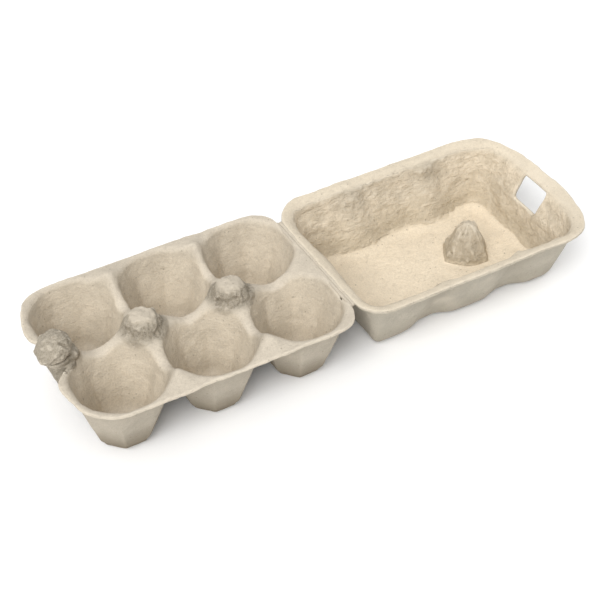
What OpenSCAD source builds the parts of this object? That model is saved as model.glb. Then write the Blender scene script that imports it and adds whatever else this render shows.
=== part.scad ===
// Six-egg carton of moulded paper pulp, lying open: the tray on the left, the lid folded back flat.
// X runs along the carton. The fold line is x = 0, the tray is at -X and the lid at +X.
// Y runs along the fold line, and the front row of cups is at -Y.
// Z is up. The feet of the cups and the lid's flat panel stand on z = 0. Sizes are in millimetres.

/* [Carton] */
// Height of both rims above the table
rim_h = 38; // [34:1:42]
// Distance from the fold line to the far end of each rim
half_length = 148.5; // [147.5:0.5:150]
// Width of both rims along the fold line
rim_w = 102; // [101:0.5:106]
// Corner radius of the rims at the latch end
latch_corner_r = 27; // [22:1:32]
// Corner radius of the rims at the fold
fold_corner_r = 14; // [10:1:18]
// Radius of the shallow bow of the rims' latch end
end_bow_r = 140; // [130:1:200]
// Distance from the fold line to the edge of each rim
fold_gap = 1; // [0.8:0.1:1.4]

/* [Sheet] */
// Thickness of the pulp walls
sheet = 1.8; // [1.4:0.1:2.2]
// Thickness of the flat rims
rim_t = 2.5; // [2:0.1:3]
// Thickness of the folding strip
fold_t = 1; // [0.8:0.1:1.2]

/* [Egg cups] */
// Distance between the egg cups along the carton
pitch_x = 47; // [46:0.5:47.5]
// Distance between the two rows of egg cups
pitch_y = 49; // [47:0.5:49.5]
// Width of a cup's eight-sided foot across its flats
foot_w = 23; // [18:1:26]
// Chamfer of a cup's mouth, seen from above
mouth_chamfer = 12; // [10:0.5:12]
// Height of the straight collar round a cup's mouth
collar_h = 8; // [7:0.5:10]
// Depth of the saddle in each ridge between two cups
saddle_depth = 7; // [4:0.5:7]
// Radius of the saddles
saddle_r = 12; // [9:1:12]

/* [Posts and latch] */
// Height of the two centre posts above the table
post_top = 47; // [44:1:50]
// Radius of a centre post at its foot
post_r = 8; // [6:0.5:8.5]
// Radius of a centre post's round top
post_top_r = 5.5; // [4:0.5:6]
// Height of the latch knob above the table
knob_top = 53.5; // [50:0.5:54]
// Distance from the fold line to the latch knob's centre
knob_x = 133.6; // [132:0.1:133.8]
// Radius of the latch knob's head
knob_r = 5.6; // [4:0.1:5.8]
// Width of the latch window in the lid's end wall
window_w = 17; // [16:0.5:20]
// Height of the latch window's low edge above the table, with the lid open
window_low = 21.5; // [20:0.5:21.5]

/* [Lid] */
// Width of the lid's flat panel
panel_w = 74; // [72:0.5:76]
// Distance from the fold line to the near edge of the panel
panel_start = 13; // [12:0.5:15]
// Distance from the fold line to the far edge of the panel
panel_end = 131.5; // [130:0.5:134]
// Radius of the corners of the lid's bulges at the panel
bulge_r = 13; // [10:0.5:14]
// How far a bulge runs past its pleat, along the panel
bulge_overlap = 2.5; // [2.5:0.1:3.5]
// How far the walls spread outwards from panel to rim
wall_spread = 8.5; // [7.5:0.5:9]
// Width of the rim's flange outside the walls
flange_w = 5.5; // [5:0.1:6]
// Distance from the fold line to the lid's inner post
lid_post_x = 95; // [93:1:98]
// Height of the lid's inner post above the table
lid_post_top = 22; // [18:1:26]
// Radius of the lid's inner post at its foot
lid_post_r = 14; // [12:1:16]

/* [Hidden] */

pulp_tray = [0.78, 0.75, 0.69];
pulp_lid = [0.83, 0.79, 0.71];
round_fn = 96;
hull_fn = 32;
slab = 0.01;
cut = 1;

columns = 3;
rows = [-1, 1];
collar_z = rim_h - collar_h;
// The collars end here: this far from the carton's middle, from the fold and short of the last pitch.
collar_y = 48.5;
collar_fold_strip = 1.8;
collar_latch_trim = 1;
foot_chamfer = foot_w * (1 - 1 / sqrt(2));
// The lid's walls are split into four nodes at these distances from the fold line.
hinge_wall_x = 27;
latch_wall_x = 117;
wall_top = rim_h - rim_t;
band_h = 2.5;
lobe_top = wall_top - band_h;
// The lid's clear middle ends this far short of the panel's edge.
clear_margin = 8;
clear_y = panel_w / 2 - clear_margin;

// Distance from the fold line to the centre of column n, counted from the latch end.
function cup_x(n) = fold_gap + (columns - n + 0.5) * pitch_x;
// A collar's two ends along the carton, as distances from the fold line.
function cell_near(n) = n == columns ? fold_gap + collar_fold_strip : fold_gap + (columns - n) * pitch_x;
function cell_far(n) = fold_gap + (columns - n + 1) * pitch_x - (n == 1 ? collar_latch_trim : 0);
// A bulge's two ends at the panel. Bulge n of the lid lies over column n of the tray.
function bulge_near(n) = n == columns ? panel_start : fold_gap + (columns - n) * pitch_x;
function bulge_far(n) = n == 1 ? panel_end : fold_gap + (columns - n + 1) * pitch_x;

// Rectangle between two corners with its four corners cut off.
module chamfered(x0, y0, x1, y1, c) {
    polygon([
        [x0 + c, y0], [x1 - c, y0], [x1, y0 + c], [x1, y1 - c],
        [x1 - c, y1], [x0 + c, y1], [x0, y1 - c], [x0, y0 + c]
    ]);
}

// Rectangle between two corners with round corners of radius r.
module rounded(x0, y0, x1, y1, r, fn = round_fn) {
    translate([x0 + r, y0]) square([x1 - x0 - 2 * r, y1 - y0]);
    translate([x0, y0 + r]) square([x1 - x0, y1 - y0 - 2 * r]);
    for (x = [x0 + r, x1 - r], y = [y0 + r, y1 - r])
        translate([x, y]) circle(r = r, $fn = fn);
}

// Outline of a rim, drawn for the lid and moved in from its edge by inset.
module rim_outline(inset) {
    x0 = fold_gap + inset;
    x1 = half_length - inset;
    y1 = rim_w / 2 - inset;
    middle = half_length / 2;
    fold_r = fold_corner_r - inset;
    latch_r = latch_corner_r - inset;
    intersection() {
        union() {
            rounded(x0, -y1, middle + fold_r, y1, fold_r);
            rounded(middle - latch_r, -y1, x1 + cut, y1, latch_r);
        }
        translate([half_length - end_bow_r, 0]) circle(r = end_bow_r - inset, $fn = 4 * round_fn);
    }
}

// Collar outline of the cup in column n, in the row at +Y, moved in from its edge by inset.
module collar_outline(n, inset) {
    chamfered(
        -cell_far(n) + inset, inset, -cell_near(n) - inset, collar_y - inset,
        mouth_chamfer - inset * (2 - sqrt(2))
    );
}

// Foot outline of the same cup.
module foot_outline(n, inset) {
    reach = foot_w / 2 - inset;
    translate([-cup_x(n), pitch_y / 2])
        chamfered(-reach, -reach, reach, reach, foot_chamfer - inset * (2 - sqrt(2)));
}

// Solid of a cup, from its foot at z = foot_z to the top of its collar.
module cup_solid(n, inset, foot_z, top_z) {
    hull() {
        translate([0, 0, foot_z]) linear_extrude(slab) foot_outline(n, inset);
        translate([0, 0, collar_z]) linear_extrude(slab) collar_outline(n, inset);
    }
    translate([0, 0, collar_z]) linear_extrude(top_z - collar_z) collar_outline(n, inset);
}

// Saddle cut into a ridge: its low point is saddle_depth under the rim, and it runs along axis.
module saddle(x, y, axis) {
    translate([x, y, rim_h - saddle_depth + saddle_r]) rotate(axis)
        cylinder(r = saddle_r, h = 4 * sheet, center = true, $fn = round_fn);
}

module egg_cup(n, row) {
    color(pulp_tray) mirror([0, row < 0 ? 1 : 0, 0]) difference() {
        cup_solid(n, 0, 0, rim_h);
        cup_solid(n, sheet, sheet, rim_h + cut);
        saddle(-cup_x(n), 0, [90, 0, 0]);
        if (n > 1) saddle(-cell_far(n), pitch_y / 2, [0, 90, 0]);
        if (n < columns) saddle(-cell_near(n), pitch_y / 2, [0, 90, 0]);
    }
}

// Flat rim round the six cups, with a web in each gap between two cups and the edge.
module tray_rim() {
    color(pulp_tray) translate([0, 0, wall_top]) linear_extrude(rim_t) difference() {
        mirror([1, 0]) rim_outline(0);
        for (n = [1 : columns]) {
            collar_outline(n, 0);
            mirror([0, 1]) collar_outline(n, 0);
        }
        for (n = [2 : columns])
            translate([-cell_far(n), 0]) rotate(45) square(mouth_chamfer * sqrt(2), center = true);
    }
}

// Post where four cups meet: a block between their collars, and a cone with a round top.
module centre_post(n) {
    shoulder = post_top - post_top_r;
    color(pulp_tray) translate([-cell_far(n), 0, 0]) {
        translate([0, 0, collar_z]) linear_extrude(collar_h) rotate(45)
            square(mouth_chamfer * sqrt(2), center = true);
        translate([0, 0, rim_h])
            cylinder(r1 = post_r, r2 = post_top_r, h = shoulder - rim_h, $fn = round_fn);
        intersection() {
            translate([0, 0, shoulder]) sphere(r = post_top_r, $fn = round_fn);
            translate([0, 0, shoulder]) cylinder(r = post_r, h = post_top_r + cut, $fn = round_fn);
        }
    }
}

// Knob that stands on the rim's latch end and fills the lid's window when the carton is closed.
module latch_knob() {
    crown_r = 4;
    head_h = 8;
    half_flat = 1.2;
    color(pulp_tray) hull() for (y = [-half_flat, half_flat]) translate([-knob_x, y, 0]) {
        translate([0, 0, rim_h]) cylinder(r = knob_r - 1, h = slab, $fn = hull_fn);
        translate([0, 0, knob_top - head_h]) cylinder(r = knob_r, h = slab, $fn = hull_fn);
        translate([0, 0, knob_top - crown_r]) sphere(r = crown_r, $fn = hull_fn);
    }
}

// Thin strip that joins the two rims and bends along the fold line.
module hinge_strip() {
    end_gap = 0.3;
    strip_w = rim_w - 2 * fold_corner_r;
    color(pulp_tray) translate([-fold_gap, -strip_w / 2, rim_h - rim_t / 2 - fold_t / 2])
        cube([2 * fold_gap - end_gap, strip_w, fold_t]);
}

// Outline of one bulge at the panel, in the row at +Y.
module bulge_outline(n, inset, fn = round_fn) {
    near = bulge_near(n) - (n == columns ? 0 : bulge_overlap) + inset;
    far = bulge_far(n) + (n == 1 ? 0 : bulge_overlap) - inset;
    rounded(near, -bulge_overlap + inset, far, panel_w / 2 - inset, bulge_r - inset, fn);
}

// Outline of the same bulge just under the rim.
module bulge_top_outline(n, inset) {
    spread = bulge_overlap + wall_spread;
    near = bulge_near(n) - (n == columns ? panel_start - fold_gap - flange_w : spread) + inset;
    far = bulge_far(n) + (n == 1 ? half_length - flange_w - panel_end : spread) - inset;
    corner_r = (n == 1 ? latch_corner_r : fold_corner_r) - flange_w - inset;
    rounded(near, -spread + inset, far, panel_w / 2 + wall_spread - inset, corner_r, hull_fn);
}

// The lid's six bulges and the straight band above them, as one solid. The band starts at band_z.
module lid_solid(inset, low_z, band_z, top_z) {
    intersection() {
        for (row = rows, n = [1 : columns]) mirror([0, row < 0 ? 1 : 0, 0]) hull() {
            translate([0, 0, low_z]) linear_extrude(slab) bulge_outline(n, inset, hull_fn);
            translate([0, 0, lobe_top]) linear_extrude(slab) bulge_top_outline(n, inset);
        }
        linear_extrude(rim_h) rim_outline(flange_w + inset);
    }
    translate([0, 0, band_z]) linear_extrude(top_z - band_z) rim_outline(flange_w + inset);
}

// Clear middle of the lid, over the whole panel.
module lid_clear_middle() {
    start = panel_start + bulge_r;
    translate([start, -clear_y, sheet])
        cube([panel_end - bulge_r - start, 2 * clear_y, wall_top - sheet + cut]);
}

// The lid's walls between two distances from the fold line.
module lid_walls(x0, x1) {
    intersection() {
        difference() {
            lid_solid(0, sheet, lobe_top - sheet, wall_top);
            lid_solid(sheet, sheet - slab, lobe_top, wall_top + cut);
            lid_clear_middle();
        }
        translate([x0, -rim_w, sheet]) cube([x1 - x0, 2 * rim_w, wall_top - sheet]);
    }
}

// Flat panel of the lid. It is the carton's top when the lid is closed.
module lid_top_panel() {
    color(pulp_lid) linear_extrude(sheet) {
        for (n = [1 : columns]) {
            bulge_outline(n, 0);
            mirror([0, 1]) bulge_outline(n, 0);
        }
        translate([panel_start + bulge_r, -clear_y])
            square([panel_end - panel_start - 2 * bulge_r, 2 * clear_y]);
    }
}

module lid_rim() {
    color(pulp_lid) translate([0, 0, wall_top]) linear_extrude(rim_t) difference() {
        rim_outline(0);
        rim_outline(flange_w + sheet);
    }
}

module lid_front_wall() {
    color(pulp_lid) intersection() {
        lid_walls(hinge_wall_x, latch_wall_x);
        translate([0, -rim_w, 0]) cube([half_length, rim_w, rim_h]);
    }
}

module lid_back_wall() {
    color(pulp_lid) mirror([0, 1, 0]) lid_front_wall();
}

module lid_hinge_wall() {
    color(pulp_lid) lid_walls(0, hinge_wall_x);
}

// End wall of the lid, with the window for the latch knob under the rim.
module lid_latch_wall() {
    color(pulp_lid) difference() {
        lid_walls(latch_wall_x, half_length);
        translate([latch_wall_x, -window_w / 2, window_low]) cube([half_length, window_w, rim_h]);
    }
}

// Post inside the lid. It stands over a centre post when the carton is closed.
module lid_inner_post() {
    post_sides = 7;
    tip_r = 2;
    color(pulp_lid) translate([lid_post_x, 0, sheet])
        cylinder(r1 = lid_post_r, r2 = tip_r, h = lid_post_top - sheet, $fn = post_sides);
}

tray_rim();
egg_cup(1, -1);  // egg_cup_front_1
egg_cup(2, -1);  // egg_cup_front_2
egg_cup(3, -1);  // egg_cup_front_3
egg_cup(1, 1);  // egg_cup_back_1
egg_cup(2, 1);  // egg_cup_back_2
egg_cup(3, 1);  // egg_cup_back_3
centre_post(2);  // centre_post_latch_side
centre_post(3);  // centre_post_hinge_side
latch_knob();
hinge_strip();
lid_top_panel();
lid_rim();
lid_front_wall();
lid_back_wall();
lid_hinge_wall();
lid_latch_wall();
lid_inner_post();
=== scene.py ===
"""Six-egg carton of moulded pulp, lying open: tray at -X, lid at +X, fold line at x = 0.

The tray and the lid are each one sheet of pulp. A sheet is built as a distance field in millimetres
and meshed, then cut into the carton's named regions, which share a procedural pulp material.
"""
import math

import bpy
import numpy as np
import openvdb
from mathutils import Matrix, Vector


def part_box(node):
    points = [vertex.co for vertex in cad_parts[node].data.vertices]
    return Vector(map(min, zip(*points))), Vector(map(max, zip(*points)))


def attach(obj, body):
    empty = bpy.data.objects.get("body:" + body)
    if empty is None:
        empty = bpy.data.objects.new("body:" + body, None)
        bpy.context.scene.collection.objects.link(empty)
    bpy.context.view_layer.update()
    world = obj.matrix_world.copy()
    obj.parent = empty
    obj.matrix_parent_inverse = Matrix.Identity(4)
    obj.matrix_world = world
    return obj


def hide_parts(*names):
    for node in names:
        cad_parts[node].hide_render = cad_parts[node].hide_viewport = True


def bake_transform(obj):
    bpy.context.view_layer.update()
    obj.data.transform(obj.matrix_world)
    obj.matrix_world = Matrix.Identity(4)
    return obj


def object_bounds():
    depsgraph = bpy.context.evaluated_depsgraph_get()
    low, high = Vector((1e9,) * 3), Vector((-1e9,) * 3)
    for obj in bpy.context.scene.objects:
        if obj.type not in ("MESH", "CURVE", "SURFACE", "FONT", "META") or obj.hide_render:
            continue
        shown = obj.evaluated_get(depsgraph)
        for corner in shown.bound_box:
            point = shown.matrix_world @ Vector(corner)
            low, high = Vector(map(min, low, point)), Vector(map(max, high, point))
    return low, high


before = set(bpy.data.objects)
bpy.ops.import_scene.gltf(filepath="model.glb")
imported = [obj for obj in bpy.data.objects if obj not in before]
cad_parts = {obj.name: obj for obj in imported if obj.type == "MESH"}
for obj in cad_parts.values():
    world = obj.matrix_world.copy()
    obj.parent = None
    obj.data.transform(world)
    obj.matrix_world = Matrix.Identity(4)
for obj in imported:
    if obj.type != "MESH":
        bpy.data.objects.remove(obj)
cad_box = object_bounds()

# ---------------------------------------------------------------- sizes, in millimetres
MM = 0.001
FLOOR_Z = -0.0004      # just under the feet, in metres
BOX_MARGIN = 0.1       # kept between the skins and the CAD model's box
VOXEL = 0.5


def box(node):
    """Lowest and highest corners of a CAD node."""
    return [[value / MM for value in corner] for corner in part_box(node)]


def middle_x(node):
    """Middle of a CAD node along the carton."""
    low, high = box(node)
    return (low[0] + high[0]) / 2


LID_LOW, LID_HIGH = box("lid_rim")
CUP_LOW, CUP_HIGH = box("egg_cup_front_2")
RIM_H = LID_HIGH[2]                  # height of both rims
HALF_LENGTH = LID_HIGH[0] - 0.5      # fold line to the far end of a rim
HALF_W = LID_HIGH[1] - 0.5           # half the width of a rim
FOLD_GAP = LID_LOW[0]                # fold line to the edge of a rim in the CAD
FOLD_EDGE = 0.8                      # fold line to the visible edge of a rim
PITCH_X = CUP_HIGH[0] - CUP_LOW[0]   # cup to cup, along the carton
POSTS = ("centre_post_latch_side", "centre_post_hinge_side")
POST_TOP = box(POSTS[0])[1][2]
POST_HALF = (box(POSTS[0])[1][0] - box(POSTS[0])[0][0]) / 2
KNOB_TOP = box("latch_knob")[1][2] - 0.9
COLUMNS = (1, 2, 3)                  # counted from the latch end
ROWS = {"front": -1, "back": 1}
ROW_Y = 24.5                         # middle of the carton to the middle of a row
SHEET = 2.0                          # thickness of the pulp
INNER_FLOOR = SHEET + 0.35           # height of the floors inside
RIM_GRAIN = 0.08                     # how far a rim's grain stands up; the closed rims stay apart


def cup_x(column):
    """Distance from the fold line to a column of cups."""
    return FOLD_GAP + (len(COLUMNS) + 0.5 - column) * PITCH_X


# ---------------------------------------------------------------- distance fields
def smax(a, b, k):
    """Larger of two fields, rounded where they meet over a width k."""
    h = np.maximum(k - np.abs(a - b), 0) / k
    return np.maximum(a, b) + h * h * k * np.float32(0.25)


def smin(a, b, k):
    """Smaller of two fields, rounded where they meet over a width k."""
    return -smax(-a, -b, k)


def bump(distance, width):
    """Smooth bump that is 1 at no distance and fades over width."""
    return np.exp(-(distance / width) ** 2)


def fade(value, low, high):
    """0 below low, 1 above high, smooth between."""
    t = np.clip((value - low) / (high - low), 0, 1)
    return t * t * (3 - 2 * t)


def spline_weights(axis, cell):
    """Cubic B-spline weights that spread a coarse lattice over a fine axis."""
    place = (axis - axis[0]) / cell
    index = np.floor(place).astype(int)
    t = place - index
    weights = np.zeros((len(axis), index[-1] + 4), np.float32)
    shares = ((1 - t) ** 3 / 6, (3 * t ** 3 - 6 * t ** 2 + 4) / 6,
              (-3 * t ** 3 + 3 * t ** 2 + 3 * t + 1) / 6, t ** 3 / 6)
    for offset, share in enumerate(shares):
        weights[np.arange(len(axis)), index + offset] = share
    return weights


def noise(seed, axes, cells):
    """Smooth random field with about unit spread; cells is its grain along each axis."""
    rows = [spline_weights(axis, cell) for axis, cell in zip(axes, cells)]
    rng = np.random.default_rng(seed)
    field = rng.standard_normal([row.shape[1] for row in rows]).astype(np.float32)
    for step, row in enumerate(rows):
        field = np.moveaxis(np.tensordot(row, field, axes=(1, step)), 0, step)
    return field * np.float32(2.0)


class Grid:
    """Box of voxels with its axes as broadcastable arrays."""

    def __init__(self, low, high):
        self.low = np.array(low)
        self.axes = [np.arange(a, b, VOXEL, dtype=np.float32) for a, b in zip(low, high)]
        self.x = self.axes[0][:, None, None]
        self.y = self.axes[1][None, :, None]
        self.z = self.axes[2][None, None, :]

    def noise(self, seed, *cells):
        """Random field over the box."""
        return noise(seed, self.axes, cells if len(cells) == 3 else cells * 3)

    def folds(self, seed, *cells):
        """Random field over the box with sharp creases."""
        return np.abs(self.noise(seed, *cells)) - np.float32(0.8)

    def plan_noise(self, seed, cell):
        """Random field over the plan, the same at every height."""
        return noise(seed, self.axes[:2], (cell, cell))[:, :, None]

    def mesh(self, name, field):
        """Closed mesh of the field's zero surface."""
        band = 3 * VOXEL
        grid = openvdb.FloatGrid(band)
        grid.copyFromArray(np.clip(field, -band, band).astype(np.float32))
        points, quads = grid.convertToQuads(isovalue=0.0)
        return mesh_object(name, (points * VOXEL + self.low) * MM, quads.tolist())

    def sample(self, field, points):
        """Values of a field at points in metres."""
        place = (points / MM - self.low) / VOXEL
        place = np.clip(place, 0, np.array(field.shape) - 1.001)
        cell = place.astype(int)
        part = place - cell
        total = np.zeros(len(points))
        for corner in np.ndindex(2, 2, 2):
            weight = np.prod(np.where(corner, part, 1 - part), axis=1)
            total += weight * field[tuple((cell + corner).T)]
        return total

    def normals(self, field, points):
        """Directions out of the field's surface at points in metres."""
        steps = np.eye(3) * VOXEL * MM
        slopes = [self.sample(field, points + s) - self.sample(field, points - s) for s in steps]
        slopes = np.stack(slopes, axis=1)
        return slopes / np.maximum(np.linalg.norm(slopes, axis=1, keepdims=True), 1e-6)


def relief(field):
    """Field of how proud a point stands of its surroundings: high on ridges, low in hollows."""
    reach = max(2, round(1.6 / VOXEL))
    width = 2 * reach + 1
    smooth = np.clip(field, -4, 4)
    for axis in range(3):
        line = np.moveaxis(smooth, axis, 0)
        line = np.pad(line, [(reach + 1, reach), (0, 0), (0, 0)], mode="edge")
        total = np.cumsum(line, axis=0, dtype=np.float64)
        line = (total[width:] - total[:-width]) / width
        smooth = np.moveaxis(line.astype(np.float32), 0, axis)
    return smooth


def rounded_box(x, y, x0, x1, y0, y1, r):
    """Distance to a rectangle with round corners."""
    qx = np.abs(x - (x0 + x1) / 2) - (x1 - x0) / 2 + r
    qy = np.abs(y - (y0 + y1) / 2) - (y1 - y0) / 2 + r
    outside = np.sqrt(np.maximum(qx, 0) ** 2 + np.maximum(qy, 0) ** 2)
    return outside + np.minimum(np.maximum(qx, qy), 0) - r


def rim_outline(x, y, fold_r, latch_r, bow_r):
    """Distance to the outline of a rim; x is the distance from the fold line."""
    fold_end = rounded_box(x, y, FOLD_EDGE, 2 * HALF_LENGTH, -HALF_W, HALF_W, fold_r)
    latch_end = rounded_box(x, y, -HALF_LENGTH, HALF_LENGTH + 0.5, -HALF_W, HALF_W, latch_r)
    bow = np.sqrt((x - HALF_LENGTH + bow_r) ** 2 + y * y) - bow_r
    return smax(np.where(x < HALF_LENGTH / 2, fold_end, latch_end), bow, 6.0)


def sheet_under(solid, top_noise, under_noise):
    """Skin of pulp just inside a solid: its top is the solid's surface."""
    return smax(solid + top_noise, -solid - np.float32(SHEET) + under_noise, 0.8)


def trim_rim(g, sheet, solid, outline, seed):
    """Sheet cut to its rim's outline, with a ragged edge and a fine groove under the lip."""
    ragged = outline + 0.20 * g.plan_noise(seed, 7.0) + 0.10 * g.plan_noise(seed + 1, 1.8)
    depth = np.minimum(solid + SHEET, -ragged)
    level = np.abs(g.z - RIM_H + 2.7 + 0.2 * g.plan_noise(seed + 2, 6.0)) - 0.5
    groove = np.maximum(np.maximum(depth - 0.65, level), -6.0 - outline)
    return smax(smax(sheet, ragged, 1.0), -groove, 0.5)


# ---------------------------------------------------------------- tray
TRAY_FOLD_R = 14.0       # corner radius of the tray's rim at the fold
TRAY_LATCH_R = 27.0      # corner radius of the tray's rim at the latch end
TRAY_BOW_R = 165.0       # bow of the tray's latch end
FOOT_R = 10.5            # inside of a foot, middle to flat
CUP_SLOPE = 0.322        # widening of a cup for each millimetre of height
POST_R = 7.9             # radius of a centre post under its round top
KNOB_X = 139.1           # fold line to the middle of the latch knob's head
HEAD = (8.2, 8.5, 8.6)   # half-sizes of that head
SKIRT = (8.7, 8.9, 3.4)  # half-sizes of the wider lower edge of the head
STRIP_SLOPE = 0.32       # slope of the strip at the lid's window, under the knob's head
STRIP_GAP = 0.5          # room round that strip when the carton is closed
NOTCH = 130.0            # fold line to the bottom of the notch between the two end cups
CRACK = ((0.8, -5.0, -2.1), (4.6, -6.6, -5.3))   # ends of the knob's crack, from its top


def cup_interior(g, xc, yc):
    """Distance to the space inside one eight-sided cup that widens and rounds towards its mouth."""
    u, v = np.abs(g.x - xc), np.abs(g.y - yc)
    w = (u + v) / np.float32(math.sqrt(2))
    rise = g.z - np.float32(SHEET)
    radius = FOOT_R + CUP_SLOPE * rise + 0.8 - 0.9 * (1 - fade(rise, 1.0, 5.0))
    corner = 0.6 + 5.0 * fade(g.z, 15, 38)
    side = smax(smax(u, v - 0.5 * fade(g.z, 10, 38), corner), w - 0.02 * rise, corner) - radius
    return smax(side * np.float32(0.94), np.float32(INNER_FLOOR) - g.z, 3.0)


def post(g, xc):
    """Distance to the solid of a centre post with a round top."""
    rho = np.sqrt((g.x - xc) ** 2 + g.y ** 2)
    side = (rho - POST_R - 0.14 * np.maximum(POST_TOP - 4 - g.z, 0)) * np.float32(0.97)
    crown = g.z - POST_TOP + 0.6 + rho * rho / np.float32(3.0 * POST_R)
    return smax(side, crown * np.float32(0.85), 4.0)


def ellipsoid(u, v, w, sizes):
    """Distance to an ellipsoid around the origin."""
    size = np.sqrt((u / sizes[0]) ** 2 + (v / sizes[1]) ** 2 + (w / sizes[2]) ** 2)
    return (size - 1) * np.float32(min(sizes))


def under_strip(g):
    """Height of the underside of the closed lid's strip, over the tray's latch end."""
    return RIM_H + STRIP_SLOPE * (HALF_LENGTH + g.x)


def knob(g):
    """Distance to the knob: a round head that hooks over the lid's strip, on a narrower neck."""
    rise = g.z - KNOB_TOP + HEAD[2]
    crown = ellipsoid(g.x + KNOB_X, g.y, rise, HEAD)
    head = smin(crown, ellipsoid(g.x + KNOB_X, g.y, rise + 1.6, SKIRT), 2.5)
    head = smax(head, under_strip(g) + SHEET + STRIP_GAP - g.z, 0.8)
    neck = np.sqrt((g.x + KNOB_X - 6.2) ** 2 + g.y ** 2) - 5.3
    neck = smax(neck, (g.z - RIM_H - 1.0 + 1.0 * (g.x + 128)) * np.float32(0.8), 2.0)
    return smin(head, neck, 2.5)


def knob_column(g, cups):
    """Distance to the conical skin that carries the knob, in the notch between the end cups."""
    drop = RIM_H - g.z
    axis_x = 0.09 * drop - KNOB_X + 0.9
    cone = np.sqrt((g.x - axis_x) ** 2 + g.y ** 2) - 7.1 + 0.205 * drop
    collar = RIM_H + 3.2 - 0.5 * np.maximum(g.x + KNOB_X - 3, 0)
    top = np.minimum(under_strip(g) - STRIP_GAP, collar)
    cone = smax(smax(cone, 16.5 - g.z, 2.5), g.z - top, 0.8)
    skin = smax(cone + 0.35 * g.folds(41, 3.0, 3.0, 6.0), -cone - np.float32(SHEET), 0.8)
    back = axis_x + 3.0 + 5.0 * fade(g.z, 30, 36)
    return smax(smax(skin, g.x - back, 0.8), -cups, 0.8)


def knob_crack(g):
    """Distance to a short crack in the knob's crown."""
    start, end = [np.array(point) + (-KNOB_X, 0, KNOB_TOP) for point in CRACK]
    way = end - start
    offset = (g.x - start[0], g.y - start[1], g.z - start[2])
    along = np.clip(sum(o * w for o, w in zip(offset, way)) / float(way @ way), 0, 1)
    return np.sqrt(sum((o - along * w) ** 2 for o, w in zip(offset, way))) - 0.6


def tray_top(g):
    """Height of the tray's top outside its cups: saddles between cups, humps on the webs."""
    shape = np.zeros_like(g.x + g.y)
    for node in POSTS:
        u = g.x - middle_x(node)
        for row in ROWS.values():
            dip = np.sqrt((u / 1.3) ** 2 + (g.y - row * 23) ** 2)
            hump = np.sqrt((u / 0.9) ** 2 + (g.y - row * 39.0) ** 2)
            shape = shape - 6.0 * bump(dip, 9) + 3.2 * bump(hump, 6.0)
    for column in COLUMNS:
        dip = np.sqrt((g.x + cup_x(column)) ** 2 + (g.y / 1.3) ** 2)
        shape = shape - 6.0 * bump(dip, 9)
    return RIM_H + shape - 0.10 * np.maximum(np.abs(g.y) - 46, 0)


def tray_fields(g):
    """Distances to the tray's sheet of pulp and to the solid under it, and how crumpled it is, with
    painted shade under the knob's head added.
    """
    cups = None
    for column in COLUMNS:
        for row in ROWS.values():
            cup = cup_interior(g, -cup_x(column), row * ROW_Y)
            cups = cup if cups is None else smin(cups, cup, 1.5)
    solid = smax((g.z - tray_top(g)) * np.float32(0.95), -cups, 2.6)
    crumple = 0
    for node in POSTS:
        solid = smin(solid, post(g, middle_x(node)), 2.5)
        near = 1 - fade(np.sqrt((g.x - middle_x(node)) ** 2 + g.y ** 2), 9, 14)
        crumple = crumple + near * fade(g.z, 28, 37) * (1 - 0.45 * fade(g.z, 43.5, 46))
    solid = smin(solid, knob(g), 1.2)
    reach = np.sqrt((g.x + KNOB_X) ** 2 + g.y ** 2)
    under = 1 - 0.7 * bump(g.z - under_strip(g) - SHEET, 2.0)
    crumple = crumple + (1 - fade(reach, 10, 14)) * fade(g.z, 36, 39) * under

    grain = 0.8 * g.folds(11, 4.0) - 0.75 * g.folds(12, 1.9) + 0.45 * g.folds(13, 1.3)
    top_noise = 0.10 * g.noise(1, 2.2) + 0.20 * g.noise(2, 9.0) + 0.7 * crumple * grain
    under_noise = 0.08 * g.noise(3, 2.6) + 0.15 * g.noise(4, 12.0)
    outline = rim_outline(-g.x, g.y, TRAY_FOLD_R, TRAY_LATCH_R, TRAY_BOW_R)
    ring = (1 - fade(-outline, 6, 10)) * (reach > 12)
    top_noise = top_noise + ring * (np.maximum(top_noise, -RIM_GRAIN) - top_noise)
    sheet = sheet_under(solid, top_noise, under_noise)
    sheet = smax(sheet, -knob_crack(g), 0.4)

    # The rim has a notch at the knob. The knob's head stands out over it.
    notch = (-g.x - NOTCH - np.abs(g.y)) * np.float32(math.sqrt(0.5))
    outline = smax(outline, notch, 5.0) - 14 * fade(g.z, RIM_H + 0.6, RIM_H + 1.6) * (reach < 12)
    sheet = trim_rim(g, sheet, solid, outline, 5)
    crumple = crumple * (1 - 0.6 * fade(g.z, 42.5, 45.5) * (reach > 12))
    # Painted shade: the folded column under the knob's head is marked as more crumpled than its folds,
    # so it is painted dark like shade under the head.
    shade_under_knob = (1 - fade(reach, 8.5, 10)) * (1 - fade(g.z, 36, 38)) * (g.x < -NOTCH - 2)
    crumple = crumple + 1.3 * shade_under_knob
    return smin(sheet, knob_column(g, cups), 1.0), solid, crumple


# ---------------------------------------------------------------- lid
LID_FOLD_R = (15.0, 20.0)      # corner radius of the lid's rim at the fold, front and back
LID_LATCH_R = (27.0, 30.0)     # the same at the latch end
LID_BOW_R = (105.0, 130.0)     # bow of the latch end, front and back
LOW_FOLD_R = 18.0    # corner radius at the fold, down at the panel
FLANGE = 6.3         # rim's edge to the inner face of a wall, just under the rim
WALL_SLOPE = 0.30    # how far a side wall leans in for each millimetre down
END_HEIGHTS = (2.0, 21.6, 34.5)    # heights on the middle of the lid's end wall
END_INSETS = (18.8, 14.8, 8.6)     # how far that wall stands in from the rim's edge there
PLEATS = (49.0, 96.0)              # fold line to the pleats between the lid's bulges
WINDOW_Y = 9.7       # half the width of the latch window
WINDOW_LOW = 21.5    # height of its low edge
LID_POST = (95.8, 0.8)             # middle of the lid's post, seen from above
LID_POST_R = 13.2    # radius of the lid's post at its foot
LID_POST_TOP = 23.8  # height of its top
RIM_CUT = 31.8       # height at which the lid's rim is cut off its walls
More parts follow.
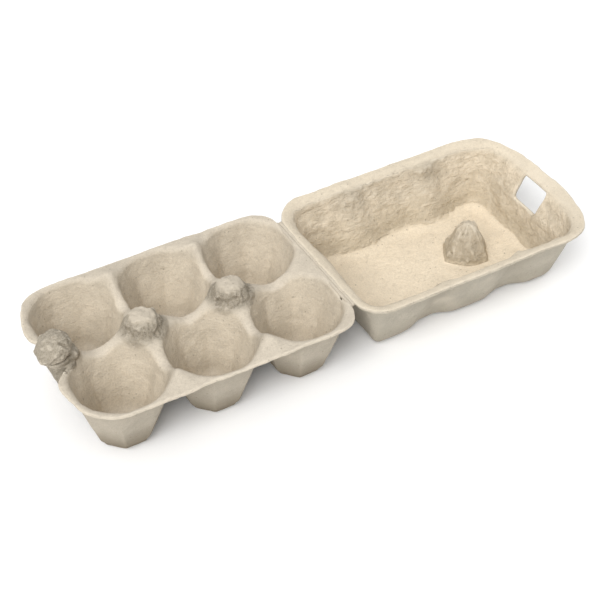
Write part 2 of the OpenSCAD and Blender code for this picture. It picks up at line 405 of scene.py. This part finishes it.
PANEL_CUT = 3.5      # height at which the walls are cut off the panel
POST_RIDGES = (50, 115, 184, 299)    # directions of the post's ridges, in degrees
RIBS = ((2.5, 0.3, 0.9), (5.5, 2.0, 0.6), (9.5, 0.9, 0.4))   # how many, start angle and depth


def lid_outline(g, fold_r):
    """Distance to the outline of the lid's rim, whose corners are rounder at the back."""
    latch_r, bow_r = [np.where(g.y > 0, back, front) for front, back in (LID_LATCH_R, LID_BOW_R)]
    return rim_outline(g.x, g.y, fold_r, latch_r, bow_r)


def lid_end_share(g):
    """1 in the middle of the lid's latch end, 0 away from it."""
    return fade(g.x, 112, 132) * (1 - fade(np.abs(g.y), 14, 36))


def lid_top(g, outline):
    """Height of the lid's rim, which rolls down inwards, most of all over the window."""
    inside = np.clip(-outline, 0, 10)
    share = lid_end_share(g)
    return RIM_H - (1 - share) * 0.045 * inside ** 2 - share * STRIP_SLOPE * inside


def lid_interior(g, outline):
    """Distance to the space inside the lid, which narrows downwards and has pleats between cups."""
    side = FLANGE + WALL_SLOPE * (RIM_H - 2 - g.z)
    end = np.interp(g.z, END_HEIGHTS, END_INSETS).astype(np.float32)
    inset = side + lid_end_share(g) * (end - side)
    low = 1 - fade(g.z, 4, 34)
    for x_pleat in PLEATS:
        reach = np.abs(g.x - x_pleat) / (5.5 + 5.5 * low)
        inset = inset + (1.6 + 2.2 * low) * np.exp(-reach ** 3)
    inset = inset + (1.0 + 1.5 * low) * bump(g.y, 8) * (1 - fade(g.x, 24, 40))
    rounder = lid_outline(g, LOW_FOLD_R)
    outline = outline + (rounder - outline) * (1 - fade(g.z, 4, 30))
    return smax((outline + inset) * np.float32(0.96), np.float32(INNER_FLOOR) - g.z, 7.0)


def lid_post(g):
    """Distance to the solid of the lid's crumpled inner post."""
    dx, dy = g.x - LID_POST[0], g.y - LID_POST[1]
    angle = np.arctan2(dy, dx)
    ridges = 0
    for degrees in POST_RIDGES:
        turn = np.abs(np.angle(np.exp(1j * (angle - math.radians(degrees))))).astype(np.float32)
        ridges = ridges + np.exp(-turn / 0.28)
    rise = np.clip((g.z - SHEET) / (LID_POST_TOP - SHEET), 0, 0.995)
    radius = LID_POST_R * (1 - rise) ** (0.56 - 0.12 * np.cos(angle)) * (0.86 + 0.18 * ridges)
    for count, turn, depth in RIBS:
        wave = np.sin(count * angle + turn + 0.12 * g.z)
        radius = radius + depth * fade(g.z, 3, 8) * (0.64 - np.abs(wave))
    side = (np.sqrt(dx ** 2 + dy ** 2) - radius) * np.float32(0.8)
    return smax(side, g.z - LID_POST_TOP + 0.5, 2.0)


def lid_fields(g):
    """Distances to the lid's sheet of pulp and to the solid under it, and how crumpled it is."""
    outline = lid_outline(g, np.where(g.y > 0, LID_FOLD_R[1], LID_FOLD_R[0]))
    top = lid_top(g, outline)
    interior = lid_interior(g, outline)
    solid = smax(g.z - top, -interior, 2.6)
    crumple = 0
    for x_pleat in PLEATS:
        for row in ROWS.values():
            # A pleat ends in a crumpled peak, with a small hollow between it and the rim.
            u, v = g.x - x_pleat + 1, (g.y - row * 43.0) * row
            peak = np.sqrt((u / 1.1) ** 2 + (v / 0.8) ** 2 + ((g.z - 30.5) / 1.5) ** 2) - 3.0
            solid = smin(solid, peak * np.float32(0.8), 2.0)
            slant = (g.z - 33.6 + 0.25 * u) / 0.7
            pit = np.sqrt(((u - 1.5) / 2.4) ** 2 + (v - 0.8) ** 2 + slant ** 2) - 0.7
            pit = pit + 0.5 * g.noise(31, 1.6)
            solid = smax(solid, -pit, 0.8)
            crumple = crumple + 0.6 * bump(np.sqrt(u ** 2 + v ** 2), 12) * fade(g.z, 10, 30)
    inner_post = lid_post(g)
    underside = smin(solid, inner_post, 5.5)    # rounder, for the edge of the hollow post
    solid = smin(solid, inner_post, 2.0)
    reach = np.sqrt((g.x - LID_POST[0]) ** 2 + (g.y - LID_POST[1]) ** 2)
    worn = 1 - 0.85 * fade(g.x - LID_POST[0], 0, 8)
    crumple = crumple * (1 - fade(g.z, 35, 37))
    crumple = crumple + 0.6 * (1 - fade(reach, 13, 17)) * fade(g.z, 3, 6) * worn
    wall = fade(-interior, -3, 0.5) * fade(g.z, 3, 7) * (1 - fade(g.z, 35, 37))
    wall = wall * (1 - 0.9 * lid_end_share(g) * fade(g.z, 26, 32))

    grain = 0.9 * g.folds(21, 3.0, 3.0, 7.0) - 0.6 * g.folds(23, 2.4) + 0.3 * g.noise(28, 1.4)
    wrinkles = 0.40 * g.noise(22, 10.0, 6.0, 6.0) + 0.26 * g.folds(29, 5.0, 3.2, 3.2)
    wrinkles = wrinkles - 0.18 * g.folds(30, 2.6, 1.9, 1.9)
    top_noise = wall * wrinkles + 0.10 * g.noise(24, 14.0) + 0.75 * crumple * grain
    under_noise = 0.08 * g.noise(25, 2.6) + 0.15 * g.noise(26, 12.0) + solid - underside
    sheet = trim_rim(g, sheet_under(solid, top_noise, under_noise), solid, outline, 27)
    sheet = np.maximum(sheet, g.z - RIM_H - RIM_GRAIN)
    window = rounded_box(g.y + 0.4, g.z, -WINDOW_Y, WINDOW_Y, WINDOW_LOW, WINDOW_LOW + 40, 2.5)
    window = smax(window, g.z - top + 1.5, 1.5)
    window = np.maximum(window, HALF_LENGTH - 28 - g.x)
    return smax(sheet, -window, 1.0), solid, np.maximum(crumple, 0.15 * wall)


# ---------------------------------------------------------------- pulp
# Linear colours of flat floors, inner walls, the walls' worn patches, also used as painted shade at the
# walls' foot, and the outside, a greyer tone that is also painted darker as shade.
TONES = {
    "tray pulp": {"floor": (0.60, 0.53, 0.43), "wall": (0.60, 0.525, 0.415), "patch": (0.52, 0.45, 0.35),
                  "outside": (0.445, 0.395, 0.318)},
    "lid pulp": {"floor": (0.72, 0.62, 0.475), "wall": (0.78, 0.675, 0.525), "patch": (0.50, 0.42, 0.30),
                 "outside": (0.46, 0.42, 0.345)},
}
CRUMPLED = (0.38, 0.335, 0.265)
SHADE_AND_SPECK = (0.20, 0.165, 0.115)   # painted shade in hollows and at the bottoms of the feet, and dark specks and torn fibres
PALE_FIBRE_AND_HIGHLIGHT = (0.80, 0.72, 0.59)       # pale fibres, and painted highlight on ridges


class Shader:
    """Helper that adds nodes to a material and links their sockets."""

    def __init__(self, name):
        self.material = bpy.data.materials.new(name)
        self.material.use_nodes = True
        self.tree = self.material.node_tree
        self.surface = self.tree.nodes["Principled BSDF"]

    def feed(self, socket, value):
        """Link an output to a socket, or set the socket's value."""
        if isinstance(value, bpy.types.NodeSocket):
            self.tree.links.new(value, socket)
        else:
            socket.default_value = value

    def node(self, kind, sockets, **settings):
        """New node. A socket is fed a number, a colour or another node's output."""
        node = self.tree.nodes.new("ShaderNode" + kind)
        for key, value in settings.items():
            setattr(node, key, value)
        for key, value in sockets.items():
            self.feed(node.inputs[key], value)
        return node

    def math(self, operation, a, b):
        """Result of a calculation on two numbers."""
        return self.node("Math", {0: a, 1: b}, operation=operation).outputs[0]

    def step(self, value, low, high, a=0.0, b=1.0):
        """Number that goes smoothly from a to b as value goes from low to high."""
        sockets = {"Value": value, "From Min": low, "From Max": high, "To Min": a, "To Max": b}
        return self.node("MapRange", sockets, interpolation_type="SMOOTHSTEP").outputs[0]

    def mix(self, share, a, b, blend="MIX"):
        """Mix of two colours."""
        node = self.node("Mix", {}, data_type="RGBA", blend_type=blend)
        for socket, value in zip((0, 6, 7), (share, a, b)):
            self.feed(node.inputs[socket], value)
        return node.outputs[2]

    def attribute(self, name):
        """Number stored on the mesh's points."""
        return self.node("Attribute", {}, attribute_name=name).outputs["Fac"]


def pulp(name, inner_rough, underside):
    """Moulded paper pulp: creamy inside, greyer outside that is also painted darker as shade, with
    fibres, specks and wrinkles.

    inner_rough is how wrinkled its inner walls are and how much painted shade darkens their foot,
    underside how much painted shade darkens it towards z = 0.
    """
    s = Shader(name)
    place = s.node("TexCoord", {}).outputs["Object"]

    def texture(scale, detail, rough=0.6, warp=0.0, where=place):
        sockets = {"Vector": where, "Scale": scale, "Detail": detail,
                   "Roughness": rough, "Distortion": warp}
        return s.node("TexNoise", sockets).outputs["Fac"]

    grain = texture(1500, 4, 0.65)
    mottle = texture(110, 5, 0.62)
    blotch = texture(26, 2)
    fibres = None
    for turn, scale in ((0.5, (500, 3200, 1500)), (2.2, (420, 2900, 1300))):
        sockets = {"Vector": place, "Rotation": (turn, turn * 0.7, turn), "Scale": scale}
        turned = s.node("Mapping", sockets).outputs[0]
        strand = s.step(texture(1.0, 2, 0.5, 0.6, turned), 0.60, 0.72)
        fibres = strand if fibres is None else s.math("MAXIMUM", fibres, strand)
    cells = s.node("TexVoronoi", {"Vector": place, "Scale": 340.0})
    speck = s.step(cells.outputs["Distance"], 0.20, 0.08)
    speck = s.math("MULTIPLY", speck, s.step(cells.outputs["Color"], 0.66, 0.72, 0.0, 0.5))

    proud = s.attribute("relief")
    crumple = s.attribute("crumple")
    flat = s.step(s.attribute("facing_up"), 0.45, 0.9)
    parts = ("floor", "wall", "patch", "outside")
    floor, wall, patch, outside = [(*TONES[name][part], 1) for part in parts]
    sockets = {"Vector": place, "Rotation": (0.2, 0.5, 0.2), "Scale": (120, 300, 300)}
    streak = texture(1.0, 4, 0.6, 0.9, s.node("Mapping", sockets).outputs[0])
    worn = s.math("ADD", s.math("MULTIPLY", streak, 0.6), s.math("MULTIPLY", mottle, 0.4))
    wall = s.mix(s.step(worn, 0.42, 0.58, 0.7 * inner_rough, 0.0), wall, patch)
    height = s.node("SeparateXYZ", {0: place}).outputs[2]
    # Painted shade: the foot of the inner walls, near the floor, is painted with the darker patch
    # colour.
    wall = s.mix(s.step(height, 0.006, 0.026, 1.1 * inner_rough, 0.0), wall, patch)
    rim = s.step(height, 0.0325, 0.0365, 0.0, 0.30)
    color = s.mix(rim, s.mix(flat, wall, floor), outside)
    # Painted shade: the outer skin takes the outside tone, a darker copy of the pulp standing in for
    # shade.
    color = s.mix(s.attribute("inside"), outside, color)
    # Crumpled pulp takes a darker colour. The crumple mark also holds the painted shade on the column
    # under the knob.
    creased = s.math("MULTIPLY", crumple, s.step(mottle, 0.35, 0.6, 0.45, 0.85))
    color = s.mix(creased, color, (*CRUMPLED, 1))
    patches = s.step(mottle, 0.3, 0.7, s.step(flat, 0.0, 1.0, 0.92, 0.97), 1.04)
    shade = s.math("ADD", patches, s.step(blotch, 0.35, 0.65, -0.02, 0.02))
    shade = s.math("MULTIPLY", shade, s.step(grain, 0.3, 0.7, 0.91, 1.07))
    grey = s.node("CombineColor", {0: shade, 1: shade, 2: shade}).outputs[0]
    color = s.mix(1.0, color, grey, "MULTIPLY")
    color = s.mix(s.math("MULTIPLY", fibres, 0.16), color, (*PALE_FIBRE_AND_HIGHLIGHT, 1))
    # Painted shade: hollows in crumpled pulp are painted dark.
    hollow_shade = s.step(proud, 0.06, -0.30, 0.0, 0.85)
    hollow_shade = s.math("MULTIPLY", hollow_shade, s.step(crumple, 0.1, 0.5, 0.55, 1.0))
    torn = s.math("MULTIPLY", s.step(grain, 0.46, 0.62, 0.0, 0.55), crumple)
    dark = s.math("MAXIMUM", s.math("MAXIMUM", hollow_shade, speck), torn)
    color = s.mix(dark, color, (*SHADE_AND_SPECK, 1))
    # Painted highlight: ridges that stand proud are painted pale.
    color = s.mix(s.step(proud, 0.22, 0.50, 0.0, 0.35), color, (*PALE_FIBRE_AND_HIGHLIGHT, 1))
    # Painted shade: the down-facing outside darkens towards z = 0, at the bottoms of the feet.
    low = s.step(height, 0.0, 0.024, underside, 0.0)
    low = s.math("MULTIPLY", low, s.step(s.attribute("facing_up"), -0.95, -0.7))
    low = s.math("MULTIPLY", low, s.step(s.attribute("inside"), 0.5, 0.2))
    color = s.mix(low, color, (*SHADE_AND_SPECK, 1))
    s.feed(s.surface.inputs["Base Color"], color)

    felt = s.math("ADD", s.math("MULTIPLY", grain, 0.7), s.math("MULTIPLY", fibres, 0.35))
    felt = s.math("ADD", felt, s.math("MULTIPLY", mottle, 0.8))
    fine = s.node("Bump", {"Height": felt, "Strength": 0.7, "Distance": 0.0006}).outputs[0]
    rough = s.math("MULTIPLY", s.step(flat, 0.0, 1.0, inner_rough, 0.08), s.attribute("inside"))
    rough = s.math("MAXIMUM", s.math("MAXIMUM", rough, 0.18), crumple)
    wrinkle = s.math("MULTIPLY", s.math("ADD", texture(360, 5, 0.65, 0.4), streak), rough)
    sockets = {"Height": wrinkle, "Strength": 0.8, "Distance": 0.0020, "Normal": fine}
    s.feed(s.surface.inputs["Normal"], s.node("Bump", sockets).outputs[0])
    s.surface.inputs["Roughness"].default_value = 0.92
    s.surface.inputs["Specular IOR Level"].default_value = 0.25
    return s.material


# ---------------------------------------------------------------- meshes and pieces
def mesh_object(name, points, faces):
    """New object with a mesh, in the scene."""
    mesh = bpy.data.meshes.new(name)
    mesh.from_pydata(np.asarray(points).tolist(), [], faces)
    mesh.update()
    obj = bpy.data.objects.new(name, mesh)
    bpy.context.scene.collection.objects.link(obj)
    return obj


def remove(*objects):
    """Delete helper objects."""
    for obj in objects:
        bpy.data.objects.remove(obj)


def prism(outline, low, high):
    """Upright prism over an outline that runs anticlockwise, in millimetres."""
    n = len(outline)
    points = [(x * MM, y * MM, z * MM) for z in (low, high) for x, y in outline]
    sides = [(i, (i + 1) % n, (i + 1) % n + n, i + n) for i in range(n)]
    return mesh_object("prism", points, [list(range(n))[::-1], list(range(n, 2 * n))] + sides)


def rectangle(x0, x1, y0, y1):
    """Outline of a rectangle."""
    return [(x0, y0), (x1, y0), (x1, y1), (x0, y1)]


def octagon(x0, x1, y0, y1, c):
    """Outline of a rectangle with its corners cut off."""
    return [(x0 + c, y0), (x1 - c, y0), (x1, y0 + c), (x1, y1 - c),
            (x1 - c, y1), (x0 + c, y1), (x0, y1 - c), (x0, y0 + c)]


def combine(name, obj, cutter, operation):
    """New object from a boolean of two closed meshes."""
    change = obj.modifiers.new("cut", "BOOLEAN")
    change.operation, change.solver, change.object = operation, "MANIFOLD", cutter
    graph = bpy.context.evaluated_depsgraph_get()
    mesh = bpy.data.meshes.new_from_object(obj.evaluated_get(graph))
    obj.modifiers.remove(change)
    result = bpy.data.objects.new(name, mesh)
    bpy.context.scene.collection.objects.link(result)
    return result


def take(rest, name, cutter):
    """The piece of a skin inside a cutter, and the rest of the skin."""
    piece = combine(name, rest, cutter, "INTERSECT")
    left = combine("rest", rest, cutter, "DIFFERENCE")
    remove(rest, cutter)
    return piece, left


def stand_above(outline, upper_outline):
    """Cutter over one outline up to just above the rim, and over another from there up."""
    low = prism(outline, -5, RIM_H + 1.6)
    high = prism(upper_outline, RIM_H + 1.5, KNOB_TOP + 5)
    cutter = combine("cutter", low, high, "UNION")
    remove(low, high)
    return cutter


def cut_tray(skin):
    """Cut the tray's skin into its knob, posts, cups and rim."""
    tip, half = middle_x("egg_cup_front_1") - PITCH_X / 2 + POST_HALF, 10.5
    far = -HALF_LENGTH - 10
    wedge = [(tip, 0), (tip - half, half), (far, half), (far, -half), (tip - half, -half)]
    cutters = {"latch_knob": stand_above(wedge, rectangle(far, tip + 3, -half, half))}
    for node in POSTS:
        x = middle_x(node)
        diamond = [(x - POST_HALF, 0), (x, -POST_HALF), (x + POST_HALF, 0), (x, POST_HALF)]
        cutters[node] = stand_above(diamond, rectangle(x - 11, x + 11, -11, 11))
    for row in ROWS:
        for column in COLUMNS:
            node = f"egg_cup_{row}_{column}"
            (x0, y0, _), (x1, y1, _) = box(node)
            cutters[node] = prism(octagon(x0, x1, y0, y1, POST_HALF), -5, KNOB_TOP + 5)
    return cut_all(skin, cutters, "tray_rim")


def cut_lid(skin):
    """Cut the lid's skin into its post, rim, panel and four walls."""
    far = HALF_LENGTH + 10
    x0, x1 = box("lid_front_wall")[0][0], box("lid_front_wall")[1][0]
    turns = [2 * math.pi * k / 16 for k in range(16)]
    ring = [(LID_POST[0] + 16.5 * math.cos(t), LID_POST[1] + 16.5 * math.sin(t)) for t in turns]
    cutters = {
        "lid_inner_post": prism(ring, -5, 30),
        "lid_rim": prism(rectangle(-5, far, -60, 60), RIM_CUT, 50),
        "lid_top_panel": prism(rectangle(-5, far, -60, 60), -5, PANEL_CUT),
        "lid_hinge_wall": prism(rectangle(-5, x0, -60, 60), -5, 50),
        "lid_latch_wall": prism(rectangle(x1, far, -60, 60), -5, 50),
        "lid_front_wall": prism(rectangle(-5, far, -60, 0), -5, 50),
    }
    return cut_all(skin, cutters, "lid_back_wall")


def cut_all(skin, cutters, last):
    """Take the cutters' pieces off a skin one after another. What is left is the last piece."""
    pieces = []
    for node, cutter in cutters.items():
        piece, skin = take(skin, node + "_pulp", cutter)
        pieces.append(piece)
    skin.name = last + "_pulp"
    return pieces + [skin]


def finish_piece(piece, body, material, values, normals=None):
    """Give a piece its shading, point values, material and body, and hide the CAD node it stands for."""
    mesh = piece.data
    mesh.polygons.foreach_set("use_smooth", np.ones(len(mesh.polygons), bool))
    if normals is not None:
        mesh.normals_split_custom_set_from_vertices(normals.tolist())
    for key, value in values.items():
        attribute = mesh.attributes.new(key, "FLOAT", "POINT")
        attribute.data.foreach_set("value", value.astype(np.float32))
    mesh.materials.clear()
    mesh.materials.append(material)
    if body:
        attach(piece, body)
    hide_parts(piece.name.removesuffix("_pulp"))


def make_half(body, fields, cut, material, low, high):
    """Build the skin of the tray or the lid, and its pieces."""
    grid = Grid(low, high)
    field, solid, crumple = fields(grid)
    sides = [np.abs(axis - (a + b) / 2 / MM) - (b - a) / 2 / MM + BOX_MARGIN
             for axis, a, b in zip((grid.x, grid.y, grid.z), *cad_box)]
    for side in sides:
        field = np.maximum(field, side)
    marks = {"relief": relief(field), "crumple": np.clip(crumple, 0, 1.3),
             "inside": np.clip(0.5 + 0.7 * (solid + SHEET / 2), 0, 1)}
    for piece in cut(grid.mesh(body + "_skin", field)):
        points = np.empty(len(piece.data.vertices) * 3)
        piece.data.vertices.foreach_get("co", points)
        points = points.reshape(-1, 3)
        normals = grid.normals(field, points)
        values = {key: grid.sample(mark, points) for key, mark in marks.items()}
        values["facing_up"] = normals[:, 2]
        finish_piece(piece, body, material, values, normals)


def make_hinge(material):
    """Thin strip along the fold line that joins the two rims."""
    half_x, half_y, thick = 1.9, box("hinge_strip")[1][1] - 0.4, 1.3
    columns, rows = 24, 150
    rng = np.random.default_rng(61)
    rise = np.convolve(rng.standard_normal(rows + 9), np.ones(9) / 9, "same")[4:rows + 5] * 0.15
    points = []
    for side in (1, -1):
        for j in range(rows + 1):
            y = half_y * (2 * j / rows - 1)
            for i in range(columns + 1):
                x = half_x * (2 * i / columns - 1)
                crease = 0.45 * math.exp(-(x / 0.45) ** 2)
                edge = math.sqrt(max(0.02, 1 - (x / half_x) ** 6))
                z = RIM_H - 1.05 + rise[j] - crease + side * thick / 2 * edge
                points.append((x * MM, y * MM, z * MM))
    faces = []
    step, sheet = columns + 1, (rows + 1) * (columns + 1)
    for j in range(rows):
        for i in range(columns):
            a = j * step + i
            faces.append((a, a + 1, a + 1 + step, a + step))
            faces.append((sheet + a, sheet + a + step, sheet + a + 1 + step, sheet + a + 1))
    around = list(range(columns)) + [j * step + columns for j in range(rows)]
    around += [rows * step + columns - i for i in range(columns)]
    around += [(rows - j) * step for j in range(rows)]
    for a, b in zip(around, around[1:] + around[:1]):
        faces.append((a, sheet + a, sheet + b, b))
    strip = mesh_object("hinge_strip_pulp", points, faces)
    count = len(points)
    values = {"relief": np.full(count, 0.1), "crumple": np.zeros(count),
              "facing_up": np.ones(count), "inside": np.ones(count)}
    finish_piece(strip, None, material, values)
    z = RIM_H * MM
    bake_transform(strip)


tray_material = pulp("tray pulp", 0.25, 0.95)
lid_material = pulp("lid pulp", 0.6, 0.3)
reach_y = HALF_W + 1.6
make_half("tray", tray_fields, cut_tray, tray_material,
          (-HALF_LENGTH - 2.2, -reach_y, -1.2), (0.6, reach_y, KNOB_TOP + 1.5))
make_half("lid", lid_fields, cut_lid, lid_material,
          (-0.6, -reach_y, -1.2), (HALF_LENGTH + 2.2, reach_y, RIM_H + 1.6))
make_hinge(tray_material)


# ---------------------------------------------------------------- camera, light and floor
def set_camera():
    """Camera at the photograph's viewing angle."""
    data = bpy.data.cameras.new("camera")
    data.sensor_width = 36
    data.lens = 83.7
    data.clip_end = 20
    camera = bpy.data.objects.new("camera", data)
    bpy.context.scene.collection.objects.link(camera)
    target = Vector((-4.07, 7.60, 7.67)) * MM
    azimuth, elevation, distance = math.radians(-29.92), math.radians(41.79), 723.85 * MM
    back = Vector((math.sin(azimuth) * math.cos(elevation),
                   -math.cos(azimuth) * math.cos(elevation), math.sin(elevation)))
    camera.location = target + back * distance
    camera.rotation_euler = back.to_track_quat("Z", "Y").to_euler()
    bpy.context.scene.camera = camera


def add_sun(name, place, strength, softness):
    """Soft, even light that shines from place towards the object. Softness is in degrees."""
    data = bpy.data.lights.new(name, "SUN")
    data.energy = strength
    data.angle = math.radians(softness)
    light = bpy.data.objects.new(name, data)
    light.location = place
    light.rotation_euler = Vector(place).to_track_quat("Z", "Y").to_euler()
    bpy.context.scene.collection.objects.link(light)


def set_stage():
    """Pale floor and soft studio light."""
    corners = [(x, y, FLOOR_Z) for x, y in rectangle(-4, 4, -4, 4)]
    floor = mesh_object("floor", corners, [(0, 1, 2, 3)])
    paint = Shader("floor")
    paint.surface.inputs["Base Color"].default_value = (0.93, 0.93, 0.93, 1)
    paint.surface.inputs["Roughness"].default_value = 0.95
    floor.data.materials.append(paint.material)
    world = bpy.data.worlds.new("world")
    world.use_nodes = True
    world.node_tree.nodes["Background"].inputs["Color"].default_value = (1, 1, 1, 1)
    world.node_tree.nodes["Background"].inputs["Strength"].default_value = 0.55
    bpy.context.scene.world = world
    bpy.context.scene.view_settings.view_transform = "Standard"
    add_sun("key", (-0.85, -0.75, 1.20), 2.6, 40)
    add_sun("top", (0.2, 0.3, 1.6), 0.55, 90)


set_camera()
set_stage()
